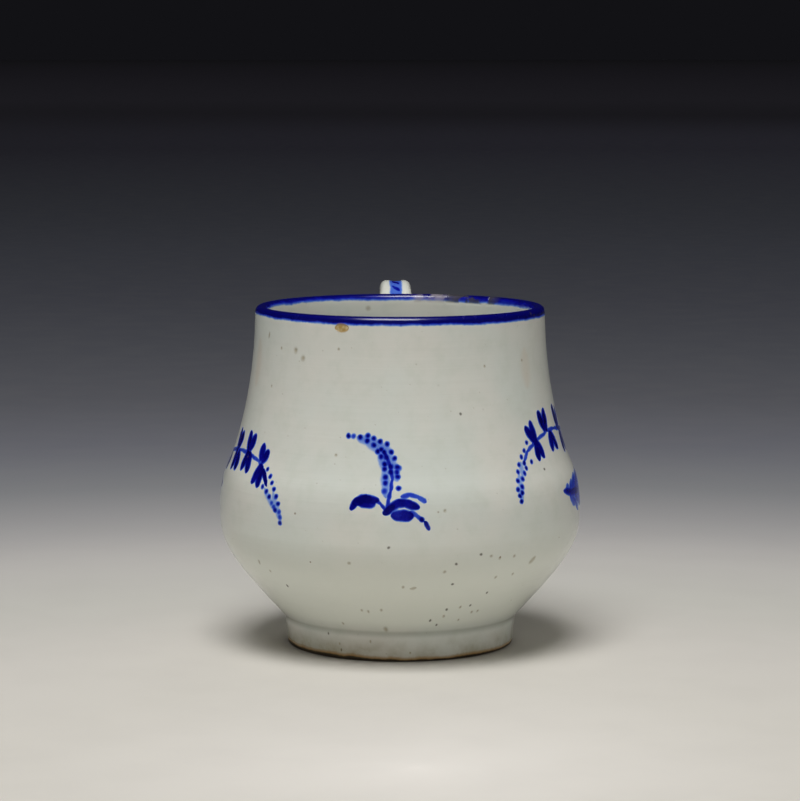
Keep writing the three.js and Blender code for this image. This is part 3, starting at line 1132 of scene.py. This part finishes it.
def makeHandleGlaze():
    material = bpy.data.materials.new("painted_handle_glaze")
    sheet = Sheet(material)
    place = sheet.add("ShaderNodeTexCoord").out("Object")
    color, roughness, height = glazeCoat(sheet, place)
    along = sheet.add("ShaderNodeAttribute", {"attribute_name": "alongStrap"}).out("Fac")
    outward = sheet.add("ShaderNodeAttribute", {"attribute_name": "outOfStrap"}).out("Fac")
    tremor = sheet.noise(place, 420, 2).out("Fac") - 0.5
    across = sheet.add("ShaderNodeSeparateXYZ", {}, [place]).out("X") / mm + tremor * 0.5
    ragged = along + tremor * 4.0 + abs(across) * 0.8
    reach = ragged.rises(handlePaint["start"], handlePaint["start"] + 2.0) * outward.rises(0.3, 1.0)
    reach = reach * ragged.rises(handlePaint["end"], handlePaint["end"] - 1.5)
    half = handlePaint["half"]
    channel = abs(across).rises(half + 0.3, half - 0.3) * handlePaint["wash"]
    dabNumber = (along + across * handlePaint["slant"] + tremor * 0.9) / handlePaint["pitch"]
    dab = abs(dabNumber.maths("FRACT") - 0.5).rises(0.38, 0.12)
    dab = dab * abs(across).rises(half, half * 0.45)
    blue = channel.most(dab * handlePaint["dab"]) * reach
    color = cobaltOver(sheet, color, blue, place)
    finishGlaze(sheet, color, roughness, height)
    return material


def makeSlipGlaze():
    material = bpy.data.materials.new("pooled_slip_glaze")
    sheet = Sheet(material)
    place = sheet.add("ShaderNodeTexCoord").out("Object")
    color, roughness, height = glazeCoat(sheet, place)
    glazeToneShift = sheet.noise(place, 200, 3).out("Fac").rises(0.4, 0.7)
    color = sheet.mixColor(glazeToneShift * 0.35, color, paint(*glazeLook["thick"]))
    finishGlaze(sheet, color, roughness, height)
    return material


def markStrap(handle, line, lengths):
    # keeps each point's place along the strap and out from its middle, for the painting
    points = np.array([vertex.co for vertex in handle.data.vertices]) / mm
    flat = points[:, 1:] - np.array([axisY / mm, 0])
    apart = np.linalg.norm(flat[:, None, :] - line[None, :, :], axis=2)
    closest = apart.argmin(axis=1)
    heading = np.gradient(line, axis=0)
    heading /= np.linalg.norm(heading, axis=1)[:, None]
    outward = np.stack([-heading[:, 1], heading[:, 0]], axis=1)
    offset = flat - line[closest]
    out = (offset * outward[closest]).sum(axis=1)
    for name, values in (("alongStrap", lengths[closest]), ("outOfStrap", out)):
        attribute = handle.data.attributes.new(name, "FLOAT", "POINT")
        attribute.data.foreach_set("value", values.astype(np.float32))


say("camera and studio")
bpy.context.scene.view_settings.view_transform = "Standard"
makeCamera()
makeWorld()
for lampName, lampValues in studio["lamps"].items():
    makeLamp(lampName, lampValues)
makeFloor()

body = makeBody()
handle, handleLine, handleLengths = makeHandle()
upperSlip = makeSlip("upper", "upper_slip_glazed", "upper_slip_joint", body, handleLine, handleLengths)
lowerSlip = makeSlip("lower", "lower_slip_glazed", "lower_slip_joint", body, handleLine, handleLengths)
markStrap(handle, handleLine, handleLengths)
slipGlaze = makeSlipGlaze()
coats = [(body, makeBodyGlaze()), (handle, makeHandleGlaze())]
coats += [(upperSlip, slipGlaze), (lowerSlip, slipGlaze)]
for piece, coat in coats:
    piece.data.materials.append(coat)
    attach(piece, "root")
say("glazed and painted")
